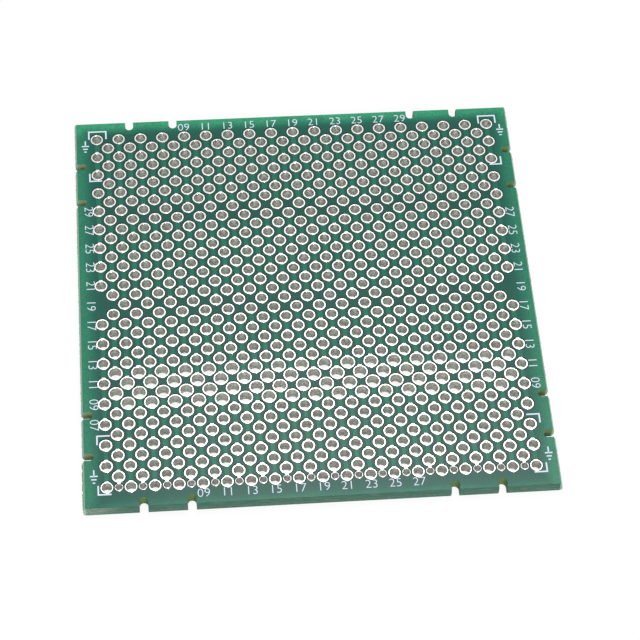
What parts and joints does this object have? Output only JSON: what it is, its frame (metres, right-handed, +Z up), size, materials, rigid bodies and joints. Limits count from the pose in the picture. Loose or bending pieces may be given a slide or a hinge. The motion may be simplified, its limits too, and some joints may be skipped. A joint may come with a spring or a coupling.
{
  "type": "prototype board",
  "caption": "Square green circuit board with a staggered grid of tinned plated-through holes joined in short columns, scored edges and small edge slots.",
  "frame": {"origin": "centre of the board's underside", "axes": "+Z up out of the printed face, +X along the front row of holes to the right, +Y from the front row with the vias to the back row"},
  "size_m": [0.0508, 0.0508, 0.0016],
  "materials": {
    "glass_laminate": "raw glass-epoxy laminate, olive and slightly fibrous where it was cut",
    "green_mask": "green solder mask, semi-gloss and slightly see-through",
    "white_print": "white screen print, matt",
    "tinned_copper": "bright tin on copper, smooth and slightly domed"
  },
  "bodies": {
    "root": {"laminate": "glass_laminate", "top_mask": "green_mask", "bottom_mask": "green_mask", "printed_marks": "white_print", "column_01": "tinned_copper", "column_02": "tinned_copper", "column_03": "tinned_copper", "column_04": "tinned_copper", "column_05": "tinned_copper", "column_06": "tinned_copper", "column_07": "tinned_copper", "column_08": "tinned_copper", "column_09": "tinned_copper", "column_10": "tinned_copper", "column_11": "tinned_copper", "column_12": "tinned_copper", "column_13": "tinned_copper", "column_14": "tinned_copper", "column_15": "tinned_copper", "column_16": "tinned_copper", "column_17": "tinned_copper", "column_18": "tinned_copper", "column_19": "tinned_copper", "column_20": "tinned_copper", "column_21": "tinned_copper", "column_22": "tinned_copper", "column_23": "tinned_copper", "column_24": "tinned_copper", "column_25": "tinned_copper", "column_26": "tinned_copper", "column_27": "tinned_copper", "column_28": "tinned_copper", "column_29": "tinned_copper", "column_30": "tinned_copper", "column_31": "tinned_copper", "column_32": "tinned_copper", "column_33": "tinned_copper", "column_34": "tinned_copper", "column_35": "tinned_copper", "column_36": "tinned_copper", "column_37": "tinned_copper"}
  },
  "joints": []
}
